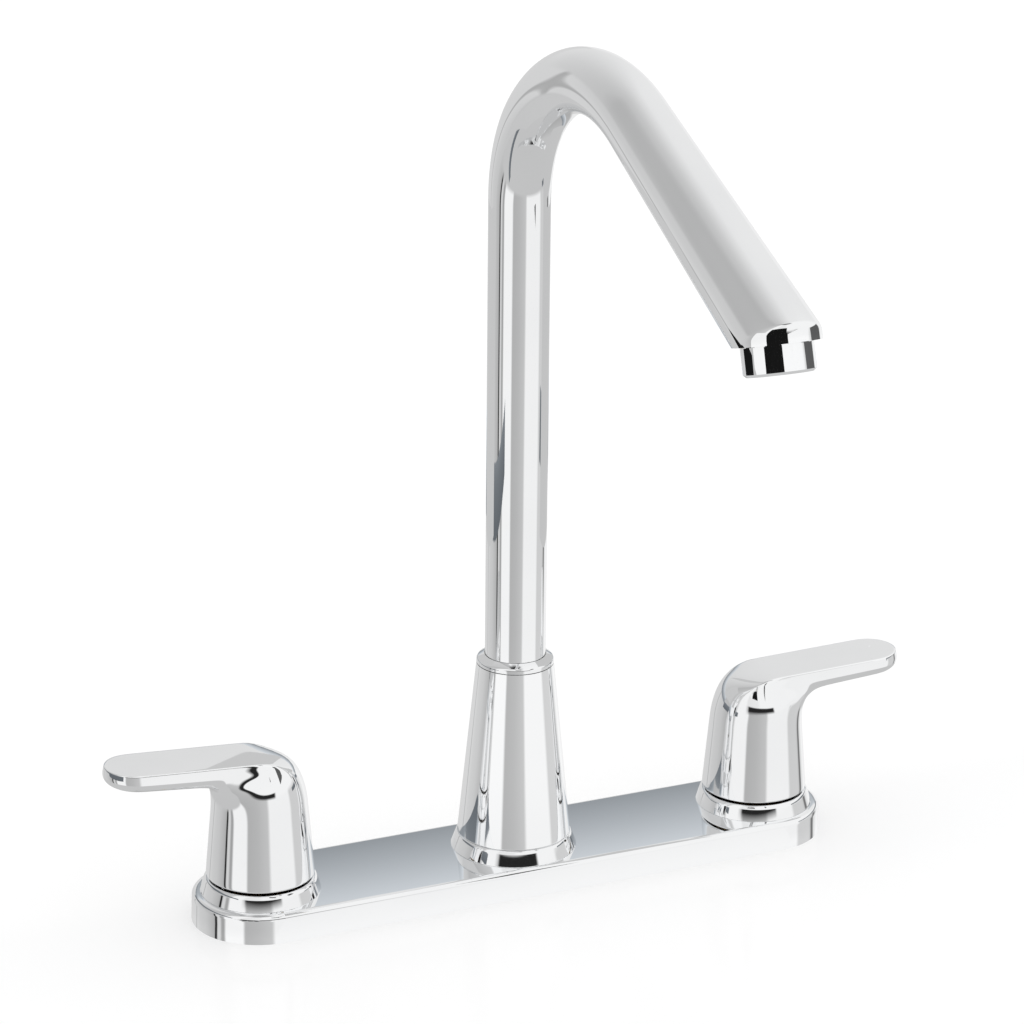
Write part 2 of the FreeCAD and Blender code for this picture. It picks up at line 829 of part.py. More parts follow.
def make_set_screw(side, at_x, angle):
    """Grub screw that runs in from the back of the skirt and bears on the stem."""
    body = new_body(f"{side}_set_screw")
    tip = -s.stem_radius - s.seat_fit
    outer = tip - s.set_screw_length
    pad(body, draw_circle(new_sketch(body, "YZ_Plane", outer), s.set_screw_radius,
                          0, s.set_screw_height), s.set_screw_length)
    socket = draw_hexagon(new_sketch(body, "YZ_Plane", outer), s.set_screw_socket_flats,
                          s.set_screw_height)
    pocket(body, socket, s.set_screw_socket_depth, reverse=True)
    place(body, at_x, angle)


def make_side(side, towards, angle):
    """Everything at one end of the plate. towards is +1 where the spout lies at +X."""
    at_x = HALF * -towards
    make_valve_body(side, towards)
    make_cross_tube(side, towards)
    make_trim_ring(side, at_x)
    seal_inner = s.passage_radius + s.seat_fit
    make_ring(f"{side}_seat_seal", seal_inner, seal_inner + s.seat_seal_width, s.chamber_floor,
              CARTRIDGE_BOTTOM, at_x)
    make_fixed_disc(side, at_x)
    make_cartridge(side, at_x)
    seal = make_o_ring(s.cartridge_radius - s.body_seal_depth + s.seat_fit,
                       s.chamber_radius - s.seat_fit, BODY_SEAL_HEIGHT)
    place(node(seal, f"{side}_body_seal"), at_x)
    make_hex_nut(f"{side}_bonnet_nut", s.bonnet_flats,
                 CARTRIDGE_FLANGE_TOP - s.bonnet_height + s.bonnet_lip, s.bonnet_height,
                 s.barrel_neck_radius + s.seat_fit, at_x, s.bonnet_lip,
                 s.cartridge_neck_radius + s.hole_gap)
    washer_bottom = -s.deck_clamp - s.washer_thickness
    on_thread = s.shank_radius + s.seat_fit
    make_ring(f"{side}_shank_washer", on_thread, s.washer_radius, washer_bottom,
              -s.deck_clamp, at_x)
    make_hex_nut(f"{side}_lock_nut", s.lock_nut_flats, washer_bottom - s.lock_nut_height,
                 s.lock_nut_height, on_thread, at_x)
    make_handle(side, at_x, angle)
    make_stem(side, at_x, angle)
    make_moving_disc(side, at_x, angle)
    stem_seal = make_o_ring(s.stem_radius - s.stem_seal_depth + s.seat_fit, s.stem_radius,
                            s.stem_seal_height)
    place(node(stem_seal, f"{side}_stem_seal"), at_x)
    make_set_screw(side, at_x, angle)


def make_hub():
    """Post in which the spout turns, its nut, flange, tapered shell, collar and guide bush."""
    post = new_body("spout_post")
    bore = s.foot_stem_radius + s.running_fit
    revolve(post, [
        (0, 0),
        (s.foot_radius, 0),
        (s.foot_radius, PLATE_INSIDE),
        (s.post_radius, PLATE_INSIDE),
        (s.post_radius, s.post_top),
        (bore, s.post_top),
        (bore, s.ring_chamber_top),
        (s.ring_chamber_radius, s.ring_chamber_top),
        (s.ring_chamber_radius, s.ring_chamber_floor),
        (s.post_bore_radius, s.ring_chamber_floor),
        (s.post_bore_radius, s.post_bore_floor),
        (0, s.post_bore_floor),
    ])
    for towards in (1, -1):
        bore_side_port(post, towards, s.post_bore_radius / 2)
    flange_bore = s.post_radius + s.hole_gap
    flange = make_ring("hub_base_ring", flange_bore, s.hub_flange_radius, s.plate_height,
                       HUB_FLANGE_TOP)
    soften(flange, "Fillet", s.hub_flange_bevel, rim(s.hub_flange_radius, HUB_FLANGE_TOP))
    make_hex_nut("hub_nut", s.hub_nut_flats, HUB_FLANGE_TOP, s.hub_nut_height,
                 s.post_radius + s.seat_fit)
    flare_top = HUB_FLANGE_TOP + s.hub_flare_height
    hub_inside = s.hub_top_radius - s.hub_wall
    revolve(new_body("spout_hub"), [
        (s.hub_foot_radius - s.hub_wall, HUB_FLANGE_TOP),
        (s.hub_foot_radius, HUB_FLANGE_TOP),
        (s.hub_flare_radius, flare_top),
        (s.hub_top_radius, s.hub_top),
        (hub_inside, s.hub_top),
        (s.hub_flare_radius - s.hub_wall, flare_top),
    ])
    collar_top = s.hub_top + s.collar_height
    bush_inner = s.tube_radius + s.running_fit
    bush_outer = bush_inner + s.bush_thickness
    collar_inner = bush_outer + s.seat_fit
    groove_top = s.hub_top + s.hub_groove
    revolve(new_body("hub_collar"), [
        (collar_inner, s.hub_top),
        (s.hub_top_radius - s.hub_groove, s.hub_top),
        (s.hub_top_radius - s.hub_groove, groove_top),
        (s.collar_radius, groove_top),
        (s.collar_radius, collar_top - s.collar_bevel),
        (s.collar_radius - s.collar_bevel, collar_top),
        (collar_inner, collar_top),
    ])
    make_ring("collar_bush", bush_inner, bush_outer, s.hub_top, collar_top - s.bush_recess)
    make_ring("spout_washer", s.foot_stem_radius + s.hole_gap, s.foot_flange_radius,
              s.post_top, SPOUT_BOTTOM)


def make_spout_foot():
    """Brass foot that turns in the post: seal grooves, snap ring groove, flange and spigot."""
    body = new_body("spout_foot")
    bottom = s.ring_chamber_top - s.foot_drop
    ring_top = s.ring_chamber_top - s.hole_gap
    ring_bottom = ring_top - s.retaining_ring_thickness
    groove = s.foot_stem_radius - s.retaining_groove_depth
    outline = [
        (s.foot_bore_radius, bottom),
        (s.foot_stem_radius, bottom),
        (s.foot_stem_radius, ring_bottom),
        (groove, ring_bottom),
        (groove, ring_top),
        (s.foot_stem_radius, ring_top),
    ]
    seal_groove = s.foot_stem_radius - s.o_ring_depth
    seals = []
    for height in (s.lower_o_ring_height, s.upper_o_ring_height):
        low = height - s.o_ring_width / 2
        high = height + s.o_ring_width / 2
        outline += [
            (s.foot_stem_radius, low),
            (seal_groove, low),
            (seal_groove, high),
            (s.foot_stem_radius, high),
        ]
        seals.append(make_o_ring(seal_groove + s.seat_fit, s.foot_stem_radius, height))
    spigot = s.tube_radius - s.tube_wall - s.seat_fit
    spigot_top = TUBE_BOTTOM + s.foot_spigot_length
    outline += [
        (s.foot_stem_radius, SPOUT_BOTTOM),
        (s.foot_flange_radius, SPOUT_BOTTOM),
        (s.foot_flange_radius, TUBE_BOTTOM),
        (spigot, TUBE_BOTTOM),
        (spigot, spigot_top),
        (s.foot_bore_radius, spigot_top),
    ]
    revolve(body, outline)
    group = doc.addObject("Part::Compound", "Seals")
    group.Links = seals
    node(group, "spout_o_rings")
    ring = make_ring("spout_retaining_ring", groove + s.seat_fit,
                     s.foot_stem_radius + s.retaining_ring_proud, ring_bottom, ring_top)
    opening = draw_outline(new_sketch(ring, "XY_Plane", ring_bottom), [
        (0, -s.retaining_ring_opening / 2),
        (s.foot_flange_radius, -s.retaining_ring_opening / 2),
        (s.foot_flange_radius, s.retaining_ring_opening / 2),
        (0, s.retaining_ring_opening / 2),
    ])
    pocket(ring, opening, reverse=True)


def forward_up(forward, up):
    """A point or direction in the plane that the spout lies in."""
    return Vector(0, -forward, up)


def bend(start, heading, radius, turn):
    """An arc that leaves a point at a heading from the vertical: its edge, its end and heading."""
    centre = start + forward_up(math.cos(heading), -math.sin(heading)) * radius

    def at(angle):
        return centre - forward_up(math.cos(angle), -math.sin(angle)) * radius

    edge = Part.Arc(start, at(heading + turn / 2), at(heading + turn)).toShape()
    return edge, at(heading + turn), heading + turn


def circle_wire(centre, direction, radius):
    return Part.Wire([Part.makeCircle(radius, centre, direction)])


def spout_path():
    """Where the bend and the slant start and end, and which way the slant runs."""
    bend_start = Vector(0, 0, s.riser_top.value)
    lower, knee, heading = bend(bend_start, 0, s.lower_bend_radius.value,
                                math.radians(s.lower_bend_turn.value))
    upper, bend_end, heading = bend(knee, heading, s.upper_bend_radius.value,
                                    math.radians(s.upper_bend_turn.value))
    direction = forward_up(math.sin(heading), math.cos(heading))
    return bend_start, Part.Wire([lower, upper]), bend_end, direction


def spout_solid(inset, bottom, extra):
    """The spout's form, inset from its outside, with its slant run on past the outlet."""
    bend_start, bend_wire, bend_end, direction = spout_path()
    radius = s.tube_radius.value - inset
    end_radius = s.bend_end_tube_radius.value - inset
    tip_radius = s.tip_tube_radius.value - inset
    riser = Part.makeCylinder(radius, s.riser_top.value - bottom, Vector(0, 0, bottom))
    shell = Part.BRepOffsetAPI.MakePipeShell(bend_wire)
    shell.add(circle_wire(bend_start, Vector(0, 0, 1), radius))
    shell.add(circle_wire(bend_end, direction, end_radius))
    shell.build()
    shell.makeSolid()
    length = s.slant_length.value + extra
    growth = (tip_radius - end_radius) / s.slant_length.value
    slant = Part.makeCone(end_radius, end_radius + growth * length, length, bend_end, direction)
    return riser.fuse([shell.shape(), slant])


def outlet_placement():
    """Where the spout's centre line ends, with local Z up along the outlet's tilted axis."""
    bend_start, bend_wire, bend_end, direction = spout_path()
    tip = bend_end + direction * s.slant_length.value
    return Placement(tip, Rotation(Vector(1, 0, 0), -s.outlet_tilt.value))


def outlet_form(inset, bottom):
    """The spout's form, inset from its outside and rounded in plan in front of the outlet."""
    reach = s.toe_reach.value * 3
    front = Part.makeBox(2 * reach, reach, 2 * reach, Vector(-reach, -reach, -reach))
    outline = Part.Ellipse(Vector(0, 0, 0), s.toe_reach.value - inset, s.toe_half_width.value - inset)
    kept = Part.Face(Part.Wire(outline.toShape())).extrude(Vector(0, 0, 2 * reach))
    kept.Placement = Placement(Vector(0, 0, -reach), Rotation(Vector(0, 0, 1), 90))
    beyond = front.cut(kept)
    beyond.Placement = outlet_placement()
    return spout_solid(inset, bottom, reach).cut(beyond)


def outlet_slab(bottom, top):
    """Everything between two levels of the tilted outlet."""
    reach = s.toe_reach.value * 3
    slab = Part.makeBox(2 * reach, 2 * reach, top - bottom, Vector(-reach, -reach, bottom))
    slab.Placement = outlet_placement()
    return slab


def outlet_bore(radius, bottom, top):
    bore = Part.makeCylinder(radius, top - bottom, Vector(0, 0, bottom))
    bore.Placement = outlet_placement()
    return bore


def blend_toe(solid):
    """Rounds the crease over the front of the outlet."""
    to_local = outlet_placement().inverse()
    creases = []
    for edge in solid.Edges:
        middle = to_local.multVec(edge.valueAt((edge.FirstParameter + edge.LastParameter) / 2))
        share = math.hypot(middle.x / s.toe_half_width.value, middle.y / s.toe_reach.value)
        above_rim = middle.z > -s.rim_drop.value + s.tube_wall.value
        if above_rim and abs(share - 1) * s.toe_reach.value < NEAR and middle.y < 0:
            creases.append(edge)
    return solid.makeFillet(s.toe_blend.value, creases)


def make_spout():
    """Chrome high-arc tube, cut to the tilted outlet, and the brass ring in its tip."""
    wall = s.tube_wall.value
    rim_level = -s.rim_drop.value
    reach = s.toe_reach.value * 3
    overrun = s.overrun.value
    below = outlet_slab(rim_level - reach, rim_level)
    outside = outlet_form(0, TUBE_BOTTOM.value).cut(below)
    outside = blend_toe(outside)
    inside = outlet_form(wall, TUBE_BOTTOM.value - overrun)
    tube = doc.addObject("Part::Feature", "Tube")
    tube.Shape = outside.cut(inside)
    node(tube, "spout_tube")
    insert_top = rim_level + s.insert_thickness.value
    neck_top = rim_level - s.aerator_gap.value + s.aerator_neck_length.value
    shoulder = neck_top + s.aerator_washer_thickness.value
    solid = outlet_form(wall + s.seat_fit.value, TUBE_BOTTOM.value)
    solid = solid.common(outlet_slab(rim_level, insert_top))
    solid = solid.cut(outlet_bore(s.insert_bore_radius.value, rim_level - overrun, shoulder))
    solid = solid.cut(outlet_bore(s.insert_mouth_radius.value, rim_level, insert_top + overrun))
    insert = doc.addObject("Part::Feature", "Insert")
    insert.Shape = solid
    node(insert, "outlet_insert")


def make_aerator():
    """Chrome sleeve screwed into the tip, with its flow former, screen and washer."""
    top = -s.rim_drop - s.aerator_gap
    bottom = -s.rim_drop - s.aerator_length
    neck = s.insert_bore_radius - s.seat_fit
    inside = neck - s.aerator_wall
    neck_top = top + s.aerator_neck_length
    lip_top = bottom + s.aerator_lip
    housing = new_body("aerator_housing")
    revolve(housing, [
        (inside, neck_top),
        (neck, neck_top),
        (neck, top),
        (s.aerator_radius, top),
        (s.aerator_radius, bottom + s.aerator_chamfer),
        (s.aerator_radius - s.aerator_chamfer, bottom),
        (inside - s.aerator_lip, bottom),
        (inside - s.aerator_lip, lip_top),
        (inside, lip_top),
    ])
    screen_top = lip_top + s.screen_thickness
    screen = make_plate("aerator_screen", inside - s.seat_fit, lip_top, s.screen_thickness)
    drill_ring(screen, lip_top, s.screen_hole_radius, s.screen_hole_ring, 6)
    drill_ring(screen, lip_top, s.screen_hole_radius, s.screen_hole_ring * 2, 12)
    former = make_plate("aerator_insert", inside - s.seat_fit, screen_top, s.flow_former_length)
    drill_ring(former, screen_top, s.flow_hole_radius, s.flow_hole_ring, 10)
    washer = make_ring("aerator_washer", neck - s.aerator_washer_width, neck, neck_top,
                       neck_top + s.aerator_washer_thickness)
    for body in (housing, screen, former, washer):
        body.Placement = outlet_placement()


def make_plate(label, radius, bottom, thickness):
    body = new_body(label)
    pad(body, draw_circle(new_sketch(body, "XY_Plane", bottom), radius), thickness)
    return body


def drill_ring(body, bottom, radius, ring_radius, count):
    """A ring of equal holes right through a plate."""
    drawing = draw_circle(new_sketch(body, "XY_Plane", bottom), radius, ring_radius, 0)
    hole = pocket(body, drawing, reverse=True)
    pattern = body.newObject("PartDesign::PolarPattern", "Ring")
    pattern.Originals = [hole]
    pattern.Axis = (drawing, ["N_Axis"])
    pattern.Angle = 360
    pattern.Occurrences = count
    body.Tip = pattern
    doc.recompute()


make_deck_plate()
make_deck_gasket()
make_hub()
make_side("hot", 1, 180 - s.lever_yaw.value)
make_side("cold", -1, -s.lever_yaw.value)
make_spout_foot()
make_spout()
make_aerator()
doc.recompute()

faults = [thing.Label for thing in doc.Objects if {"Invalid", "Error"} & set(thing.State)]
for thing in NODES:
    if thing.Shape.isNull() or not thing.Shape.isValid():
        faults.append(thing.Label)
if faults:
    sys.exit(f"failed: {faults}")

os.makedirs("parts", exist_ok=True)
for thing in NODES:
    thing.Shape.exportStep(os.path.join("parts", f"{thing.Label}.step"))
    print(f"{thing.Label}: {len(thing.Shape.Solids)} solid, {thing.Shape.Volume:.1f} mm3")
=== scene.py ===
import json
import math

import bmesh
import bpy
from mathutils import Matrix, Vector


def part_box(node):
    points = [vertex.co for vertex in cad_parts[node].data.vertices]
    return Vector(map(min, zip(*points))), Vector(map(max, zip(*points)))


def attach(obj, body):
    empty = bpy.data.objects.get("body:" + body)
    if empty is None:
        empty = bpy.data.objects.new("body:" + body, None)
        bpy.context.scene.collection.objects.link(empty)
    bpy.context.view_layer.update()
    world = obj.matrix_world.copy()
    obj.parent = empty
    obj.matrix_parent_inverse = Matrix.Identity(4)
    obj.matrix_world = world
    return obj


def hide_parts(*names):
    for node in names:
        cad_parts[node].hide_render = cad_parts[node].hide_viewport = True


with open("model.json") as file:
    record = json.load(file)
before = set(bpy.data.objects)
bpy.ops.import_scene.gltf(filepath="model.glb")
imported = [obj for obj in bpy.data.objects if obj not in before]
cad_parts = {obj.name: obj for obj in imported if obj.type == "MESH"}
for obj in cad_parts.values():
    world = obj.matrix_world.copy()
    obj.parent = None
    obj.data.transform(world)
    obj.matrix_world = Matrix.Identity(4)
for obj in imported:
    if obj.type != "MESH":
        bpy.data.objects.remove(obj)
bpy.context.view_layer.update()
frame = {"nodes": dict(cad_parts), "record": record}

MM = 0.001

# Camera, fitted to the photograph: it looks from the front left and a little down
AZIMUTH = math.radians(24.72)
ELEVATION = math.radians(19.62)
ROLL = math.radians(0.54)
DISTANCE = 1.4529
TARGET = Vector((-0.00185, 0.0, 0.14275))
FOCAL_PIXELS, PHOTO_PIXELS = 3988.66, 1024
SENSOR_MM = 36.0
FAR_CLIP = 50.0


def photo_camera():
    forward = Vector((math.sin(AZIMUTH) * math.cos(ELEVATION),
                      math.cos(AZIMUTH) * math.cos(ELEVATION), -math.sin(ELEVATION)))
    level = Vector((math.cos(AZIMUTH), -math.sin(AZIMUTH), 0.0))
    upward = level.cross(forward)
    right = level * math.cos(ROLL) + upward * math.sin(ROLL)
    up = upward * math.cos(ROLL) - level * math.sin(ROLL)
    place = TARGET - forward * DISTANCE
    view = bpy.data.cameras.new("camera")
    view.sensor_width = SENSOR_MM
    view.lens = FOCAL_PIXELS / PHOTO_PIXELS * view.sensor_width
    view.clip_end = FAR_CLIP
    camera = bpy.data.objects.new("camera", view)
    camera.matrix_world = Matrix((
        (right.x, up.x, -forward.x, place.x),
        (right.y, up.y, -forward.y, place.y),
        (right.z, up.z, -forward.z, place.z),
        (0, 0, 0, 1),
    ))
    bpy.context.scene.collection.objects.link(camera)
    bpy.context.scene.camera = camera


photo_camera()

# Materials. Patches of noise from 0 to 1 mix their tones and their roughness, and finer noise is the grain
TONES_FROM, TONES_TO = 0.3, 0.7
POLISH_FROM, POLISH_TO = 0.25, 0.75
EDGE_FROM, EDGE_FULL, EDGE_SHINE = 0.5, 0.56, 1.06
GRAIN_DEPTH = 0.0002
METAL_GRAIN, SOFT_GRAIN = 6, 8
PATCH_DETAIL, METAL_DETAIL, SOFT_DETAIL = 5.0, 3.0, 2.0


def new_material(name):
    """A material with one Principled shader: the material, its nodes, its links and the shader."""
    made = bpy.data.materials.new(name)
    made.use_nodes = True
    tree = made.node_tree
    return made, tree.nodes, tree.links, tree.nodes["Principled BSDF"]


def noise(nodes, links, scale, detail, stretch=None):
    """Noise on the piece's own coordinates, stretched along one axis where stretch is given."""
    where = nodes.new("ShaderNodeTexCoord")
    mapped = nodes.new("ShaderNodeMapping")
    mapped.inputs["Scale"].default_value = stretch or (1, 1, 1)
    links.new(where.outputs["Object"], mapped.inputs["Vector"])
    made = nodes.new("ShaderNodeTexNoise")
    made.inputs["Scale"].default_value = scale
    made.inputs["Detail"].default_value = detail
    links.new(mapped.outputs["Vector"], made.inputs["Vector"])
    return made.outputs["Fac"]


def ramp(nodes, links, source, stops):
    """A colour ramp on a value, from stops of a position and a grey or a colour."""
    made = nodes.new("ShaderNodeValToRGB")
    elements = made.color_ramp.elements
    while len(elements) < len(stops):
        elements.new(0.5)
    for element, (at, colour) in zip(elements, stops):
        element.position = at
        element.color = (*colour, 1) if isinstance(colour, tuple) else (colour, colour, colour, 1)
    links.new(source, made.inputs["Fac"])
    return made.outputs["Color"]


def bump(nodes, links, shader, source, strength):
    made = nodes.new("ShaderNodeBump")
    made.inputs["Strength"].default_value = strength
    made.inputs["Distance"].default_value = GRAIN_DEPTH
    links.new(source, made.inputs["Height"])
    links.new(made.outputs["Normal"], shader.inputs["Normal"])


def metal(name, colour, dull, rough, scale, stretch=None, relief=0.0):
    """Bare or plated metal: two tones, roughness that varies, brighter edges and a fine relief."""
    made, nodes, links, shader = new_material(name)
    shader.inputs["Metallic"].default_value = 1.0
    patches = noise(nodes, links, scale, PATCH_DETAIL, stretch)
    tone = ramp(nodes, links, patches, [(TONES_FROM, dull), (TONES_TO, colour)])
    pointed = nodes.new("ShaderNodeNewGeometry").outputs["Pointiness"]
    worn = ramp(nodes, links, pointed, [(EDGE_FROM, 0.0), (EDGE_FULL, 1.0)])
    mixed = nodes.new("ShaderNodeMix")
    mixed.data_type = "RGBA"
    links.new(worn, mixed.inputs["Factor"])
    links.new(tone, mixed.inputs["A"])
    mixed.inputs["B"].default_value = (*(min(1.0, c * EDGE_SHINE) for c in colour), 1)
    links.new(mixed.outputs["Result"], shader.inputs["Base Color"])
    low, high = rough
    finish = ramp(nodes, links, patches, [(POLISH_FROM, high), (POLISH_TO, low)])
    links.new(finish, shader.inputs["Roughness"])
    if relief:
        grain = noise(nodes, links, scale * METAL_GRAIN, METAL_DETAIL, stretch)
        bump(nodes, links, shader, grain, relief)
    return made


def soft(name, colour, dull, rough, scale, relief):
    """Rubber, plastic or ceramic: two tones, varied roughness and a fine grain."""
    made, nodes, links, shader = new_material(name)
    patches = noise(nodes, links, scale, PATCH_DETAIL)
    tone = ramp(nodes, links, patches, [(TONES_FROM, dull), (TONES_TO, colour)])
    links.new(tone, shader.inputs["Base Color"])
    low, high = rough
    finish = ramp(nodes, links, patches, [(TONES_FROM, low), (TONES_TO, high)])
    links.new(finish, shader.inputs["Roughness"])
    bump(nodes, links, shader, noise(nodes, links, scale * SOFT_GRAIN, SOFT_DETAIL), relief)
    return made


MATERIALS = {
    "chrome": metal("chrome", (0.93, 0.935, 0.94), (0.9, 0.905, 0.912), (0.02, 0.05), 30),
    "brass": metal("brass", (0.83, 0.63, 0.32), (0.7, 0.5, 0.24), (0.22, 0.38), 60, (1, 1, 9), 0.15),
    "copper": metal("copper", (0.85, 0.48, 0.33), (0.68, 0.34, 0.22), (0.2, 0.4), 50, (9, 1, 1), 0.1),
    "steel": metal("steel", (0.62, 0.63, 0.64), (0.5, 0.51, 0.52), (0.22, 0.36), 80, (1, 1, 12), 0.15),
    "rubber": soft("rubber", (0.022, 0.022, 0.024), (0.012, 0.012, 0.013), (0.55, 0.75), 90, 0.3),
    "plastic": soft("plastic", (0.8, 0.8, 0.77), (0.74, 0.74, 0.71), (0.35, 0.5), 60, 0.12),
    "ceramic": soft("ceramic", (0.9, 0.89, 0.85), (0.84, 0.83, 0.79), (0.12, 0.24), 70, 0.05),
}

SLOTS = {part["node"]: part["material_slot"] for part in frame["record"]["subparts"]}
for name, thing in frame["nodes"].items():
    thing.data.materials.clear()
    thing.data.materials.append(MATERIALS[SLOTS[name]])


# What the chrome pieces share
def piece_from(made, name):
    """The bmesh as an object, its faces turned outwards."""
    bmesh.ops.recalc_face_normals(made, faces=made.faces)
    mesh = bpy.data.meshes.new(name)
    made.to_mesh(mesh)
    made.free()
    piece = bpy.data.objects.new(name, mesh)
    bpy.context.scene.collection.objects.link(piece)
    return piece


def plated(piece, body, node, sharp=None):
    """Makes the piece smooth chrome that rides on a body in place of a CAD node."""
    mesh = piece.data
    mesh.polygons.foreach_set("use_smooth", [True] * len(mesh.polygons))
    if sharp:
        mesh.set_sharp_from_angle(angle=math.radians(sharp))
    mesh.materials.append(MATERIALS["chrome"])
    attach(piece, body)
    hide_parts(node)


# Handles, in mm: u runs along the lever from the valve's axis, v across it and z up from the deck.
# Head and lever flow into each other, which no operator gives, so their rings are found on a formula.
HANDLE_X = 101.6
HOT_TURN, COLD_TURN = 177.0, -3.0
SKIRT_FOOT, SKIRT_RADIUS, SKIRT_TAPER = 17.2, 20.08, 0.0864
SKIRT_LEVELS = (18.1, 22, 28, 34, 40, 45)
RINGS_ALIGNED_AT = 50
LEVER_HEIGHT, LEVER_RISE = 64.4, 0.045
LEVER_END, UNDERSIDE, UNDERSIDE_RISE = 58.3, 60.5, 0.08
RIM, WAIST, WAIST_DEPTH = 10.9, 11.6, 3.2
UNDER_EDGE = 3.5
TIP = 46.7
LEVER_STATIONS = (29, 33.5, 38, 42.5, TIP)
NECK, NECK_REACH, NECK_TURNS = Vector((25.3, 0, 48.8)), 20, 9

# The head rolls over at its sides and more at its back, and leans in between the side and the rim
SIDE_ROLL, SIDE_ROLL_DEPTH = 6.5, 11.0
BACK_ROLL, BACK_ROLL_DEPTH = 8.5, 16.0
BACK_FROM, BACK_FULL, AXIS_ROOM = -0.35, 1.0, 0.1
LEAN, LEAN_DEPTH, LEAN_SCALE = 5.1, 11.0, 4.63
KNEE = 1.5
DOME_FROM, DOME_TO, DOME_SHARE = 3, -5.5, 0.55
FILLET, FILLET_DEPTH, FILLET_FROM, FILLET_FULL = 17.0, 10, 3, 15
NO_FILLET = 0.01

# The skirt's hollow, from its roof down to the foot: height, and how far inside the skirt's face
HOLLOW = ((37.2, 1.9), (30, 1.9), (18.6, 1.9), (17.75, 1.8), (17.6, 1.5), (17.6, 0.55), (17.75, 0.1))

TOP_PARTS, SIDE_PARTS, TIP_PARTS = 4, 12, 12
WALK, HALVINGS, FAR = 96, 40, 60
CREASE, CREASE_ROWS = 0.75, 4
SMOOTHINGS = 2


def smooth_step(low, high, x):
    t = min(max((x - low) / (high - low), 0), 1)
    return t * t * (3 - 2 * t)


def skirt_radius(z):
    return SKIRT_RADIUS - SKIRT_TAPER * (z - SKIRT_FOOT)


def lever_top(u):
    return LEVER_HEIGHT + LEVER_RISE * u


def lever_bottom(u):
    return UNDERSIDE - UNDERSIDE_RISE * (LEVER_END - u)


def rounded(a, b, wide, tall):
    """Round intersection of two half spaces: a is rounded over wide and b over tall."""
    x, y = (a + wide) / wide, (b + tall) / tall
    if x <= 0 or y <= 0:
        return max(a, b)
    return (math.hypot(x, y) - 1) * min(wide, tall)


def head_form(u, v, z, v_share=1.0, leaning=False):
    """Skirt and head, below zero inside: rolled over all round, or with sides that lean in."""
    side = math.sqrt(u * u + v_share * v * v) - skirt_radius(z)
    depth = z - lever_top(u)
    back = smooth_step(BACK_FROM, BACK_FULL, -u / max(math.hypot(u, v), AXIS_ROOM))
    rolled = rounded(side, depth, SIDE_ROLL + (BACK_ROLL - SIDE_ROLL) * back,
                     SIDE_ROLL_DEPTH + (BACK_ROLL_DEPTH - SIDE_ROLL_DEPTH) * back)
    if not leaning:
        return rolled
    slope = (side / LEAN + depth / LEAN_DEPTH + 1) * LEAN_SCALE
    h = max(KNEE - abs(side - slope), 0) / KNEE
    edged = max(max(side, slope) + h ** 3 * KNEE / 6, depth)
    return edged + (rolled - edged) * back


def lever_form(u, v, z):
    """The lever, below zero inside: its sides splay out below the rim and round under."""
    half = RIM + (WAIST - RIM) * min(max(lever_top(u) - z, 0) / WAIST_DEPTH, 1)
    if u > TIP:
        side = math.hypot(u - TIP, v) - half
    elif u > 0:
        side = abs(v) - half
    else:
        side = math.hypot(u, v) - half
    return max(rounded(side, lever_bottom(u) - z, UNDER_EDGE, UNDER_EDGE), z - lever_top(u))


def handle_form(u, v, z):
    """Head and lever as one, with a fillet under the lever."""
    head, lever = head_form(u, v, z, leaning=True), lever_form(u, v, z)
    under = smooth_step(0, FILLET_DEPTH, lever_top(u) - z)
    blend = NO_FILLET + FILLET * under * smooth_step(FILLET_FROM, FILLET_FULL, u)
    h = max(blend - abs(head - lever), 0) / blend
    return min(head, lever) - h ** 3 * blend / 6


def top_form(u, v, z):
    """The top face: flat on the lever, domed at the back."""
    if u > DOME_FROM:
        return z - lever_top(u)
    return head_form(u, v, z, 1 - DOME_SHARE * smooth_step(DOME_TO, DOME_FROM, u))


def surface_along(form, start, way, far=FAR):
    """The point where form turns positive on the line from start."""
    low, high = 0.0, far
    for _ in range(HALVINGS):
        mid = (low + high) / 2
        if form(*(start + way * mid)) > 0:
            high = mid
        else:
            low = mid
    return start + way * low


def half_ring(centre, out, across=Vector((0, 1, 0))):
    """Half a ring in the plane of out and across, from the top face round to the underside."""
    half = []
    for i in range(TOP_PARTS + 1):
        half.append(surface_along(top_form, centre + across * (RIM * i / TOP_PARTS), out))
    edge = half[-1]
    start = math.atan2((edge - centre).dot(across), (edge - centre).dot(out))
    line = [edge]
    for i in range(1, WALK + 1):
        turn = start + (math.pi - start) * i / WALK
        line.append(surface_along(handle_form, centre, out * math.cos(turn) + across * math.sin(turn)))
    lengths = [0.0]
    for p, q in zip(line, line[1:]):
        lengths.append(lengths[-1] + (q - p).length)
    k = 0
    for i in range(1, SIDE_PARTS + 1):
        want = lengths[-1] * i / SIDE_PARTS
        while k < len(lengths) - 2 and lengths[k + 1] < want:
            k += 1
        t = (want - lengths[k]) / (lengths[k + 1] - lengths[k])
        half.append(line[k].lerp(line[k + 1], t))
    return half


def skirt_ring(z, inside=0.0):
    """Half a level ring of the skirt, its points in line with the rings above."""
    radius = skirt_radius(z) - inside
    start = math.asin(RIM / skirt_radius(RINGS_ALIGNED_AT))
    turns = [start * i / TOP_PARTS for i in range(TOP_PARTS)]
    turns += [start + (math.pi - start) * i / SIDE_PARTS for i in range(SIDE_PARTS + 1)]
    return [Vector((-radius * math.cos(a), radius * math.sin(a), z)) for a in turns]


def lever_middle(u):
    return Vector((u, 0, (lever_top(u) + lever_bottom(u)) / 2))


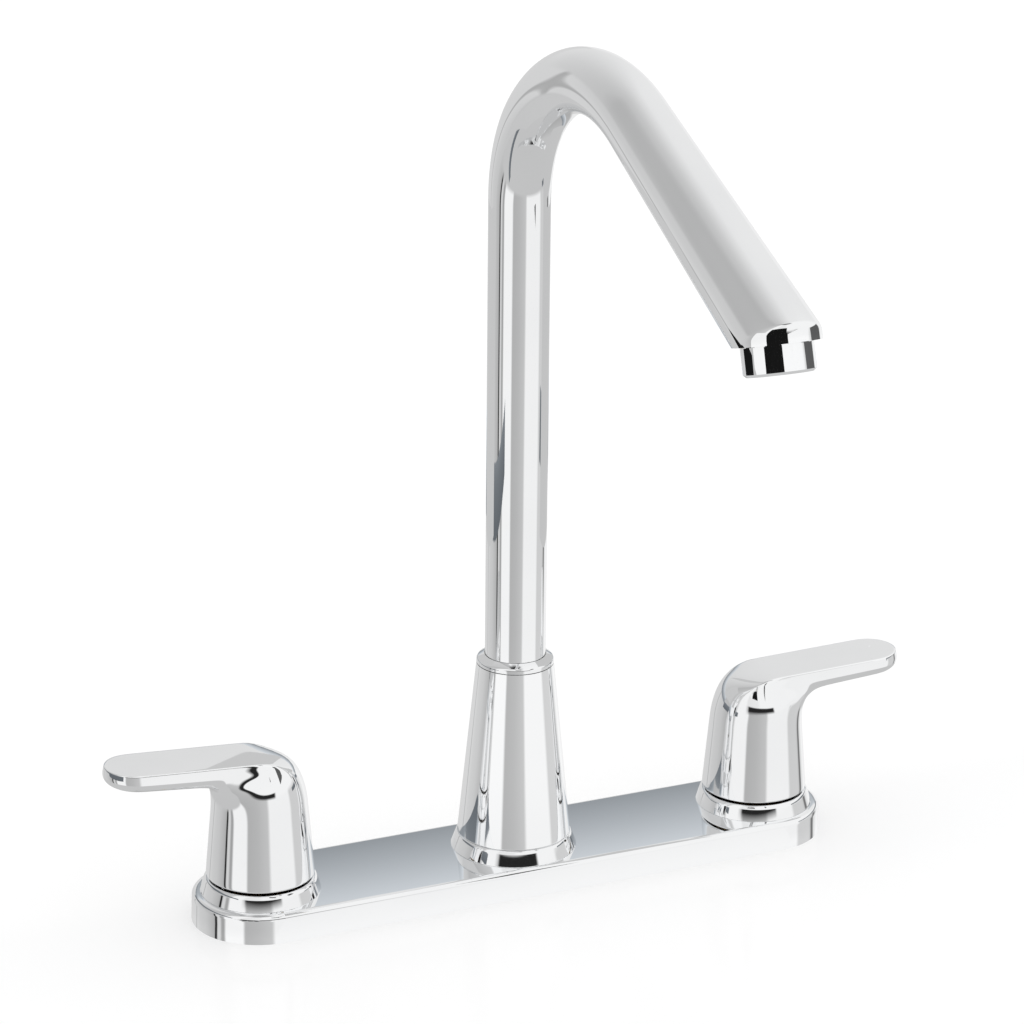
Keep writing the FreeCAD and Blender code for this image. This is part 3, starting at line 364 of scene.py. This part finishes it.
def handle_rings():
    """Half rings up the skirt, round the neck, where they turn by a right angle, and along the lever."""
    rings = [skirt_ring(z) for z in SKIRT_LEVELS]
    for i in range(NECK_TURNS + 1):
        turn = math.radians(90) * i / NECK_TURNS
        out = Vector((-math.cos(turn), 0, math.sin(turn)))
        inner = surface_along(lambda *p: -handle_form(*p), NECK, out, NECK_REACH)
        outer = surface_along(top_form, inner + out, out)
        rings.append(half_ring((inner + outer) / 2, out))
    for u in LEVER_STATIONS:
        rings.append(half_ring(lever_middle(u), Vector((0, 0, 1))))
    for ring in rings:
        ring[0].y = ring[-1].y = 0
    return rings


def handle_cage():
    """The handle's cage in its own frame: rings from the hollow over the foot to the tip, and the tip."""
    made = bmesh.new()
    hollow = [skirt_ring(z, inside) for z, inside in HOLLOW]
    half_count = TOP_PARTS + SIDE_PARTS
    count = 2 * half_count
    loops = []
    for half in hollow + handle_rings():
        full = half + [Vector((p.x, -p.y, p.z)) for p in reversed(half[1:-1])]
        loops.append([made.verts.new(p) for p in full])
    for one, two in zip(loops, loops[1:]):
        for i in range(count):
            k = (i + 1) % count
            made.faces.new((one[i], one[k], two[k], two[i]))
    roof = made.verts.new((0, 0, HOLLOW[0][0]))
    for i in range(count):
        made.faces.new((loops[0][(i + 1) % count], loops[0][i], roof))

    last = loops[-1]
    top, bottom = last[0], last[half_count]
    spokes = [last[:half_count + 1]]
    for i in range(1, TIP_PARTS):
        a = math.pi * i / TIP_PARTS
        half = half_ring(lever_middle(TIP), Vector((0, 0, 1)), Vector((math.sin(a), math.cos(a), 0)))
        spokes.append([top] + [made.verts.new(p) for p in half[1:-1]] + [bottom])
    spokes.append([top] + list(reversed(last[half_count + 1:])) + [bottom])
    for one, two in zip(spokes, spokes[1:]):
        for j in range(half_count):
            corners = []
            for v in (one[j], one[j + 1], two[j + 1], two[j]):
                if v not in corners:
                    corners.append(v)
            made.faces.new(corners)

    creases = made.edges.layers.float.new("crease_edge")
    plain_rows = len(hollow) + len(SKIRT_LEVELS)
    for row in range(len(loops) - 1):
        amount = min(max((row - plain_rows) / CREASE_ROWS, 0), 1) * CREASE
        for i in (TOP_PARTS, count - TOP_PARTS):
            made.edges.get((loops[row][i], loops[row + 1][i]))[creases] = amount
    for one, two in zip(spokes, spokes[1:]):
        made.edges.get((one[TOP_PARTS], two[TOP_PARTS]))[creases] = CREASE
    return made


def handle(side, cage, centre_x, turn):
    """A smooth cast handle on its own copy of the cage."""
    made = cage.copy()
    c, s = math.cos(math.radians(turn)), math.sin(math.radians(turn))
    for v in made.verts:
        u, w, z = v.co
        v.co = ((centre_x + u * c - w * s) * MM, (u * s + w * c) * MM, z * MM)
    piece = piece_from(made, f"{side}_lever_handle")
    plated(piece, f"{side}_handle", f"{side}_handle")
    smooth = piece.modifiers.new("smooth", "SUBSURF")
    smooth.levels = smooth.render_levels = SMOOTHINGS
    with bpy.context.temp_override(object=piece, active_object=piece, selected_objects=[piece]):
        bpy.ops.object.modifier_apply(modifier=smooth.name)


cage = handle_cage()
handle("hot", cage, -HANDLE_X, HOT_TURN)
handle("cold", cage, HANDLE_X, COLD_TURN)
cage.free()

# Turned pieces, in mm, from the corners of half their section: radius, height and how far each is cut back.
# Edges that turn by more than these degrees stay sharp, on them and on the spout.
AROUND = 80
ROUNDING = (0, 0.17, 0.33, 0.5, 0.67, 0.83, 1)
TURNED_SHARP, SPOUT_SHARP = 30, 40
PLATE_TOP, RING_TOP, CONE_TOP = 11, 16.7, 82
TRIM_RING = ((13.85, PLATE_TOP, 0), (22.2, PLATE_TOP, 0.2), (20.7, 15.7, 0.6), (19.9, RING_TOP, 0.5),
             (13.85, RING_TOP, 0))
FLANGE = ((13.95, PLATE_TOP, 0), (23.6, PLATE_TOP, 0.3), (21.7, 15.9, 0.5), (21.2, RING_TOP, 0.3),
          (13.95, RING_TOP, 0))
CONE = ((19.4, RING_TOP, 0.1), (21.13, RING_TOP, 0.6), (14.55, CONE_TOP, 0), (11.65, CONE_TOP, 0),
        (18.9, 20.2, 0))
CAP = ((12.05, CONE_TOP, 0), (14.55, CONE_TOP, 0), (14.35, 84.05, 0), (12.9, 84.05, 0), (12.9, 84.3, 0),
       (14.38, 84.3, 0.1), (14.28, 86.0, 0.8), (11.45, 87.6, 0.2), (11.45, 87.2, 0), (12.05, 87.15, 0))


def section(corners):
    """The line of half a section, with its cut corners rounded."""
    line = []
    for i, (radius, height, cut) in enumerate(corners):
        here = Vector((radius, height))
        if not cut:
            line.append(here)
            continue
        before = Vector(corners[i - 1][:2])
        after = Vector(corners[(i + 1) % len(corners)][:2])
        one = here + (before - here).normalized() * cut
        two = here + (after - here).normalized() * cut
        line += [one.lerp(here, t).lerp(here.lerp(two, t), t) for t in ROUNDING]
    return line


def turned(name, corners):
    """A piece round the vertical axis: a circle drawn out along the section, ring by ring, and closed."""
    line = [p * MM for p in section(corners)]
    bpy.ops.object.select_all(action="DESELECT")
    bpy.ops.mesh.primitive_circle_add(vertices=AROUND, radius=line[0].x, calc_uvs=False,
                                      location=(0, 0, line[0].y))
    bpy.ops.object.transform_apply(location=True, rotation=True, scale=True)
    piece = bpy.context.active_object
    bpy.ops.object.mode_set(mode="EDIT")
    bpy.ops.mesh.select_mode(type="EDGE")
    bpy.ops.mesh.select_all(action="SELECT")
    for one, two in zip(line, line[1:]):
        bpy.ops.mesh.extrude_region_move(TRANSFORM_OT_translate={"value": (0, 0, two.y - one.y)})
        wider = two.x / one.x
        bpy.ops.transform.resize(value=(wider, wider, 1), center_override=(0, 0, two.y))
    bpy.ops.mesh.select_all(action="DESELECT")
    bpy.ops.mesh.select_non_manifold()
    bpy.ops.mesh.bridge_edge_loops()
    bpy.ops.mesh.select_all(action="SELECT")
    bpy.ops.mesh.normals_make_consistent(inside=False)
    bpy.ops.object.mode_set(mode="OBJECT")
    piece.name = piece.data.name = name
    return piece


hot_ring = turned("hot_ring", TRIM_RING)
cold_ring = bpy.data.objects.new("cold_ring", hot_ring.data.copy())
cold_ring.data.name = "cold_ring"
bpy.context.scene.collection.objects.link(cold_ring)
for side, ring, centre_x in (("hot", hot_ring, -HANDLE_X), ("cold", cold_ring, HANDLE_X)):
    ring.data.transform(Matrix.Translation((centre_x * MM, 0, 0)))
    plated(ring, "base", f"{side}_trim_ring", TURNED_SHARP)
plated(turned("hub_flange", FLANGE), "base", "hub_base_ring", TURNED_SHARP)
plated(turned("hub_cone", CONE), "base", "spout_hub", TURNED_SHARP)
plated(turned("hub_cap", CAP), "base", "hub_collar", TURNED_SHARP)

# Spout, in mm. Its line lies in its own plane, forward and up: a riser, a low bend, a wider high bend
# and a straight slant, whose heading is from the vertical. The toe is cut by an oval, and the rim by a
# level, in the frame of the tilted outlet, so each line of the wall is followed down to them.
RISER_TOP, SLANT = 260.3, 109.3
LOW_BEND, LOW_TURN = 49.2, math.radians(43.5)
HIGH_BEND, HEADING = 69.6, math.radians(114.8)
RISER_RADIUS, KNEE_RADIUS, END_RADIUS = 11.2, 11.6, 13.8
TILT = math.radians(17.5)
TOE_WIDE, TOE_LONG, RIM_LEVEL = 13.95, 16.6, -1.85
TOE_STARTS, TOE_REACH = 21.5, 25
RIM_ROUND, LEAST_FACE, MOST_CUT_SHARE = 1.5, 0.5, 0.45
WALL, INNER_ROUND = 1.2, 0.2
RISER_RINGS, BEND_RINGS, SLANT_RINGS, TOE_RINGS = 8, 50, 10, 8


def bend_station(share):
    """A station on the two bends, share of their length from the riser: forward, up, heading, radius."""
    low_length = LOW_BEND * LOW_TURN
    at = share * (low_length + HIGH_BEND * (HEADING - LOW_TURN))
    radius = RISER_RADIUS + (KNEE_RADIUS - RISER_RADIUS) * share
    if at <= low_length:
        h = at / LOW_BEND
        return LOW_BEND * (1 - math.cos(h)), RISER_TOP + LOW_BEND * math.sin(h), h, radius
    h = LOW_TURN + (at - low_length) / HIGH_BEND
    knee = (LOW_BEND * (1 - math.cos(LOW_TURN)), RISER_TOP + LOW_BEND * math.sin(LOW_TURN))
    centre = (knee[0] + HIGH_BEND * math.cos(LOW_TURN), knee[1] - HIGH_BEND * math.sin(LOW_TURN))
    return centre[0] - HIGH_BEND * math.cos(h), centre[1] + HIGH_BEND * math.sin(h), h, radius


def slant_station(at):
    """A station on the slant, at mm from the bends."""
    f, z, h, radius = bend_station(1)
    radius += (END_RADIUS - KNEE_RADIUS) * at / SLANT
    return f + at * math.sin(h), z + at * math.cos(h), h, radius


def around(station, angle, inset=0.0):
    """A point of the tube's wall as x, forward and height."""
    f, z, h, radius = station
    radius -= inset
    return Vector((radius * math.sin(angle), f - radius * math.cos(angle) * math.cos(h),
                   z + radius * math.cos(angle) * math.sin(h)))


END = slant_station(SLANT)
END_POINT = Vector((0, END[0], END[1]))
OUTLET = Matrix(((1, 0, 0), (0, -math.cos(TILT), -math.sin(TILT)), (0, -math.sin(TILT), math.cos(TILT))))


def wall_end(angle, inset, cut):
    """The last stretch of the wall along one line: down the slant, over the toe and to the rim."""
    def at(s):
        return OUTLET @ (around(slant_station(s), angle, inset) - END_POINT)

    def bisect(test):
        low, high = SLANT - TOE_STARTS, SLANT + TOE_REACH
        for _ in range(HALVINGS):
            mid = (low + high) / 2
            low, high = (low, mid) if test(at(mid)) else (mid, high)
        return at(low)

    def beyond(p):
        return p.y < 0 and math.hypot(p.x / (TOE_WIDE - inset), p.y / (TOE_LONG - inset)) > 1

    start = at(SLANT - TOE_STARTS)
    rim = bisect(lambda p: p.z < RIM_LEVEL)
    face = 0
    if beyond(rim):
        over = bisect(beyond)
        face = over.z - RIM_LEVEL
        rim = Vector((over.x, over.y, RIM_LEVEL))
    corner = over if face > LEAST_FACE else rim.lerp(start, LEAST_FACE / (rim - start).length)
    back = min(cut, MOST_CUT_SHARE * (rim - corner).length)
    one = corner.lerp(start, back / (start - corner).length)
    two = corner.lerp(rim, back / (rim - corner).length)
    line = [start.lerp(one, i / TOE_RINGS) for i in range(1, TOE_RINGS + 1)]
    line += [one.lerp(corner, t).lerp(corner.lerp(two, t), t) for t in ROUNDING[1:]]
    line += [two.lerp(rim, 0.5), rim]
    turned_back = OUTLET.transposed()
    return [turned_back @ p + END_POINT for p in line]


def wall_rings(inset, cut):
    """Rings of the tube's wall from inside the hub to the rim."""
    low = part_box("spout_tube")[0][2] / MM
    stations = [(0, low + (RISER_TOP - low) * i / RISER_RINGS, 0.0, RISER_RADIUS) for i in range(RISER_RINGS)]
    stations += [bend_station(i / BEND_RINGS) for i in range(BEND_RINGS)]
    stations += [slant_station((SLANT - TOE_STARTS) * i / SLANT_RINGS) for i in range(SLANT_RINGS + 1)]
    turns = [2 * math.pi * (i + 0.5) / AROUND for i in range(AROUND)]
    rings = [[around(station, a, inset) for a in turns] for station in stations]
    ends = [wall_end(a, inset, cut) for a in turns]
    return rings + [list(row) for row in zip(*ends)]


def spout():
    """The tube with its wall: rings up the outside, back down the inside, and joined round."""
    made = bmesh.new()
    loops = []
    for ring in wall_rings(0, RIM_ROUND) + list(reversed(wall_rings(WALL, INNER_ROUND))):
        loops.append([made.verts.new((p.x * MM, -p.y * MM, p.z * MM)) for p in ring])
    for one, two in zip(loops, loops[1:] + loops[:1]):
        for i in range(AROUND):
            k = (i + 1) % AROUND
            made.faces.new((one[i], one[k], two[k], two[i]))
    plated(piece_from(made, "high_arc_spout"), "spout", "spout_tube", SPOUT_SHARP)


spout()


# Floor and cards
def linear(tone):
    """Linear light for a display tone from 0 to 255."""
    share = tone / 255
    return share / 12.92 if share <= 0.04045 else ((share + 0.055) / 1.055) ** 2.4


def node_maths(nodes, links, operation, a, b):
    made = nodes.new("ShaderNodeMath")
    made.operation = operation
    for socket, value in zip(made.inputs, (a, b)):
        if isinstance(value, (int, float)):
            socket.default_value = value
        else:
            links.new(value, socket)
    return made.outputs[0]


def node_mix(nodes, links, share, a, b):
    made = nodes.new("ShaderNodeMix")
    made.data_type = "RGBA"
    links.new(share, made.inputs["Factor"])
    for socket, value in ((made.inputs["A"], a), (made.inputs["B"], b)):
        if isinstance(value, tuple):
            socket.default_value = value
        else:
            links.new(value, socket)
    return made.outputs["Result"]


def node_along(nodes, links, source, way):
    """How far source points along way."""
    made = nodes.new("ShaderNodeVectorMath")
    made.operation = "DOT_PRODUCT"
    made.inputs[1].default_value = way
    links.new(source, made.inputs[0])
    return made.outputs["Value"]


def flat(name, corners, material):
    """A flat sheet of the set, which isn't part of the object."""
    mesh = bpy.data.meshes.new(name)
    mesh.from_pydata(corners, [], [tuple(range(len(corners)))])
    mesh.materials.append(material)
    made = bpy.data.objects.new(name, mesh)
    bpy.context.scene.collection.objects.link(made)
    return made


FLOOR_HALF, FLOOR_GREY, FLOOR_ROUGH = 6, 0.6, 0.12
FLOOR_SHINE, FLOOR_GLOW = 0.1, 0.42
BLUE_CAST = 5


def floor():
    """A floor that glows a little, so that it shows white with faint shadows. The chrome doesn't show it."""
    made, _, _, shader = new_material("floor")
    shader.inputs["Roughness"].default_value = FLOOR_ROUGH
    shader.inputs["Specular IOR Level"].default_value = FLOOR_SHINE
    shader.inputs["Emission Color"].default_value = (1, 1, 1, 1)
    shader.inputs["Emission Strength"].default_value = FLOOR_GLOW
    shader.inputs["Base Color"].default_value = (FLOOR_GREY, FLOOR_GREY, FLOOR_GREY, 1)
    corners = [(x * FLOOR_HALF, y * FLOOR_HALF, 0) for x, y in ((-1, -1), (1, -1), (1, 1), (-1, 1))]
    flat("floor", corners, made).visible_glossy = False


def card(name, corners, stops):
    """A card that only reflections show. Its stops are a height in metres and a tone, or one even tone."""
    made = bpy.data.materials.new(name)
    made.use_nodes = True
    nodes, links = made.node_tree.nodes, made.node_tree.links
    nodes.clear()
    light = nodes.new("ShaderNodeEmission")
    links.new(light.outputs["Emission"], nodes.new("ShaderNodeOutputMaterial").inputs["Surface"])
    if len(stops) == 1:
        light.inputs["Color"].default_value = (linear(stops[0][1]),) * 3 + (1,)
    else:
        where = nodes.new("ShaderNodeTexCoord")
        height = node_along(nodes, links, where.outputs["Object"], (0, 0, 1))
        tones = [(at, (linear(t - BLUE_CAST), linear(t), linear(t + BLUE_CAST))) for at, t in stops]
        links.new(ramp(nodes, links, height, tones), light.inputs["Color"])
    thing = flat(name, corners, made)
    thing.visible_camera = False
    thing.visible_diffuse = False
    thing.visible_shadow = False
    thing.visible_transmission = False


def low_card(name, start, end, low, stops):
    """A low card behind or beside the plate, between two places on the floor's plan."""
    (x1, y1), (x2, y2), high = start, end, stops[-1][0]
    card(name, [(x1, y1, low), (x2, y2, low), (x2, y2, high), (x1, y1, high)], stops)


def standing_card(name, about, azimuths, distance, elevations, tone):
    """A card as seen from a place: azimuths in degrees from the camera's side to its right, elevations."""
    ends = []
    for azimuth in azimuths:
        angle = math.radians(azimuth) - AZIMUTH
        ends.append((about[0] + math.sin(angle) * distance, about[1] - math.cos(angle) * distance))
    (x1, y1), (x2, y2) = ends
    low, high = (about[2] + distance * math.tan(math.radians(e)) for e in elevations)
    card(name, [(x1, y1, low), (x2, y2, low), (x2, y2, high), (x1, y1, high)], [(0, tone)])


floor()

# The cards' tones by height, and their places on the floor's plan, in metres
SLATE = [(0.078, 143), (0.086, 148), (0.1, 178), (0.115, 207), (0.124, 222)]
SIDES = [(0.055, 105), (0.08, 122), (0.09, 136)]
BACK_LEFT, BACK_RIGHT = (-0.16, 0.18), (0.34, 0.18)
FRONT_LEFT, FRONT_RIGHT = (-0.3, -0.1), (0.3, -0.14)
low_card("slate_card", BACK_LEFT, BACK_RIGHT, SLATE[0][0], SLATE)
low_card("left_card", FRONT_LEFT, BACK_LEFT, SIDES[0][0], SIDES)
low_card("right_card", BACK_RIGHT, FRONT_RIGHT, SIDES[0][0], SIDES)

# The standing cards are seen from the riser's middle or from the aerator, and stand a gap away from it
RISER, AERATOR = (0.0, 0.0, 0.17), (0.0, -0.194, 0.259)
RISER_GAP, AERATOR_GAP, UNDER_GAP, RIGHT_GAP = 0.12, 0.11, 0.06, 0.12
standing_card("riser_left", RISER, (-152, -92), RISER_GAP, (-32, 27), 203)
standing_card("riser_right", RISER, (94, 156), RISER_GAP, (-32, 27), 200)
standing_card("tip_black_front", AERATOR, (-43, 9), AERATOR_GAP, (-6, 40), 22)
standing_card("tip_white_right", AERATOR, (11, 64), AERATOR_GAP, (-12, 20), 250)
standing_card("tip_white_left", AERATOR, (-79, -45), AERATOR_GAP, (-8, 24), 248)
standing_card("tip_black_left", AERATOR, (-121, -81), UNDER_GAP, (-28, -6), 24)
standing_card("tip_grey_right", AERATOR, (86, 128), RIGHT_GAP, (-28, 13), 92)

# The studio that the chrome reflects, as stops of azimuth from the camera's side to its right and tone,
# for what stands level with the piece, a dark block above it, the room higher up, the roof and the floor
LEVEL = [(-180, 215), (-150, 215), (-132, 215), (-131, 175), (-129.5, 175), (-128.5, 216), (-118, 208),
         (-100, 202), (-84, 186), (-79, 178), (-77.5, 30), (-74.5, 30), (-72, 215), (-67, 215), (-64, 165),
         (-60, 165), (-56, 250), (-26, 250), (-22, 182), (0, 188), (22, 200), (28, 247), (80, 247),
         (86, 210), (112, 212), (118, 205), (122, 120), (127, 120), (131, 225), (145, 250), (180, 235)]
WALLS_LEFT = [(-180, 228), (-165, 222), (-133, 208), (-114, 198), (-105, 184), (-90, 190), (-60, 205),
              (-55, 250), (-34, 250)]
WALLS_RIGHT = [(125, 250), (140, 244), (150, 238), (165, 236), (180, 228)]
DARK_BLOCK = WALLS_LEFT + [(-28, 200), (-25, 38), (43, 38), (47, 250)] + WALLS_RIGHT
HIGH_ROOM = WALLS_LEFT + [(-28, 235), (0, 240), (9, 250)] + WALLS_RIGHT
ROOF = [(-180, 222), (-100, 222), (-90, 50), (90, 50), (100, 222), (180, 222)]
FLOOR_SIDE = [(-180, 175), (-150, 200), (150, 200), (180, 175)]

# Each layer over the level one, with the elevations in degrees between which it comes in or goes
LAYERS = (
    (DARK_BLOCK, [(5, 0), (11, 1)]),
    (HIGH_ROOM, [(17.5, 0), (19.5, 1)]),
    (ROOF, [(77, 0), (82, 1)]),
    (FLOOR_SIDE, [(-29, 1), (-25, 0)]),
)


def studio():
    """A white world, in which only reflections show the studio's layers."""
    world = bpy.data.worlds.new("studio")
    bpy.context.scene.world = world
    world.use_nodes = True
    nodes, links = world.node_tree.nodes, world.node_tree.links
    where = nodes.new("ShaderNodeTexCoord").outputs["Generated"]
    to_right = node_along(nodes, links, where, (math.cos(AZIMUTH), -math.sin(AZIMUTH), 0))
    to_camera = node_along(nodes, links, where, (-math.sin(AZIMUTH), -math.cos(AZIMUTH), 0))
    angle = node_maths(nodes, links, "ARCTAN2", to_right, to_camera)
    turn = node_maths(nodes, links, "ADD", node_maths(nodes, links, "DIVIDE", angle, 2 * math.pi), 0.5)
    upward = node_along(nodes, links, where, (0, 0, 1))
    height = node_maths(nodes, links, "ADD", node_maths(nodes, links, "MULTIPLY", upward, 0.5), 0.5)

    def layer(stops):
        return ramp(nodes, links, turn, [((azimuth + 180) / 360, linear(tone)) for azimuth, tone in stops])

    shown = layer(LEVEL)
    for stops, zone in LAYERS:
        share = [((math.sin(math.radians(elevation)) + 1) / 2, amount) for elevation, amount in zone]
        shown = node_mix(nodes, links, ramp(nodes, links, height, share), shown, layer(stops))
    glossy = nodes.new("ShaderNodeLightPath").outputs["Is Glossy Ray"]
    background = nodes["Background"]
    links.new(node_mix(nodes, links, glossy, (1, 1, 1, 1), shown), background.inputs["Color"])
    background.inputs["Strength"].default_value = 1.0


studio()

bpy.context.scene.view_settings.view_transform = "Standard"
